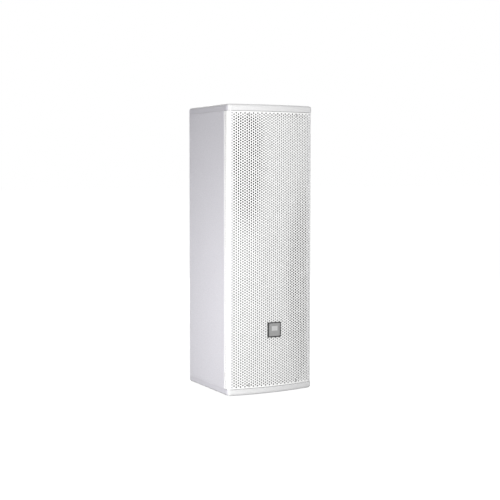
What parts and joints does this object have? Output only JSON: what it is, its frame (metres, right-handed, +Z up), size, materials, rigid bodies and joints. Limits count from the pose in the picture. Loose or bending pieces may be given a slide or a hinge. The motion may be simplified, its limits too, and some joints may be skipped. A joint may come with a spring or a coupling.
{
  "type": "two-way column loudspeaker",
  "caption": "Upright two-way column loudspeaker with a bowed perforated grille, tapered wooden cabinet, woofers above and below a horn, and a recessed rear input dish.",
  "frame": {"origin": "centre of the base of the bounding box, with the cabinet upright on its bottom panel", "axes": "+Z up the cabinet, -Y out of the bowed front, +X to the right of someone who faces the front"},
  "size_m": [0.2464, 0.2688, 0.71],
  "materials": {
    "cabinet_paint": "fine textured paint over plywood",
    "plywood": "raw birch plywood",
    "lining_felt": "matte",
    "black_plastic": "satin",
    "zinc_steel": "zinc plated",
    "grille_paint": "satin",
    "dark_steel": "blackened",
    "foam": "open-cell foam",
    "badge_metal": "brushed",
    "badge_black": "satin",
    "cast_frame": "black powder coat",
    "rubber_edge": "matte",
    "paper_cone": "coated",
    "coil_copper": "enamelled wire",
    "spider_cloth": "resin cloth",
    "plated_steel": "zinc plated",
    "ferrite": "matte",
    "titanium": "thin foil",
    "clear_plastic": "smoked clear",
    "circuit_board": "solder mask"
  },
  "bodies": {
    "cabinet": {"top_panel": "cabinet_paint", "bottom_panel": "cabinet_paint", "left_side_panel": "cabinet_paint", "right_side_panel": "cabinet_paint", "back_panel": "cabinet_paint", "baffle": "plywood", "lower_brace": "plywood", "upper_brace": "plywood", "left_lining": "lining_felt", "right_lining": "lining_felt", "left_port": "black_plastic", "right_port": "black_plastic", "top_fly_insert": "zinc_steel", "bottom_fly_insert": "zinc_steel", "rear_fly_insert": "zinc_steel", "grille": "grille_paint", "top_left_grille_screw": "dark_steel", "top_right_grille_screw": "dark_steel", "bottom_left_grille_screw": "dark_steel", "bottom_right_grille_screw": "dark_steel", "grille_foam": "foam", "lower_grille_cleat": "cabinet_paint", "upper_grille_cleat": "cabinet_paint", "lower_woofer_basket": "cast_frame", "lower_woofer_surround": "rubber_edge", "lower_woofer_spider": "spider_cloth", "lower_woofer_top_plate": "plated_steel", "lower_woofer_magnet": "ferrite", "lower_woofer_yoke": "plated_steel", "upper_woofer_basket": "cast_frame", "upper_woofer_surround": "rubber_edge", "upper_woofer_spider": "spider_cloth", "upper_woofer_top_plate": "plated_steel", "upper_woofer_magnet": "ferrite", "upper_woofer_yoke": "plated_steel", "horn_flare": "black_plastic", "driver_pole_piece": "dark_steel", "driver_magnet": "ferrite", "driver_top_plate": "dark_steel", "driver_cap": "black_plastic", "input_dish": "dark_steel", "left_socket": "black_plastic", "right_socket": "black_plastic", "barrier_strip": "black_plastic", "switch_body": "black_plastic", "crossover_board": "circuit_board", "woofer_choke": "coil_copper", "horn_choke": "coil_copper", "wiring_harness": "black_plastic"},
    "lower_cone_assembly": {"lower_woofer_cone": "paper_cone", "lower_woofer_dust_cap": "paper_cone", "lower_woofer_voice_coil": "coil_copper"},
    "upper_cone_assembly": {"upper_woofer_cone": "paper_cone", "upper_woofer_dust_cap": "paper_cone", "upper_woofer_voice_coil": "coil_copper"},
    "driver_diaphragm_assembly": {"driver_diaphragm": "titanium"},
    "badge": {"badge_holder": "badge_black", "badge_plate": "badge_metal"},
    "terminal_cover_body": {"terminal_cover": "clear_plastic"},
    "switch_knob_body": {"switch_knob": "black_plastic"}
  },
  "joints": [
    {"name": "lower_cone_stroke", "type": "slide", "parent": "cabinet", "child": "lower_cone_assembly", "axis": [0, -1, 0], "range_m": [-0.005, 0.005], "stiffness_N_per_m": 3000, "deforming": ["lower_woofer_surround", "lower_woofer_spider"]},
    {"name": "upper_cone_stroke", "type": "slide", "parent": "cabinet", "child": "upper_cone_assembly", "axis": [0, -1, 0], "range_m": [-0.005, 0.005], "stiffness_N_per_m": 3000, "deforming": ["upper_woofer_surround", "upper_woofer_spider"]},
    {"name": "diaphragm_stroke", "type": "slide", "parent": "cabinet", "child": "driver_diaphragm_assembly", "axis": [0, 1, 0], "range_m": [-0.0003, 0.0003], "stiffness_N_per_m": 20000},
    {"name": "badge_turn", "type": "hinge", "parent": "cabinet", "child": "badge", "pos_m": [0, -0.12985, 0.158], "axis": [0, -1, 0], "range_deg": [-90, 90]},
    {"name": "terminal_cover_hinge", "type": "hinge", "parent": "cabinet", "child": "terminal_cover_body", "pos_m": [0.014, 0.12245, 0.1875], "axis": [1, 0, 0], "range_deg": [0, 100]},
    {"name": "mode_switch_turn", "type": "hinge", "parent": "cabinet", "child": "switch_knob_body", "pos_m": [-0.037, 0.10995, 0.174], "axis": [0, 1, 0], "range_deg": [0, 90]}
  ]
}
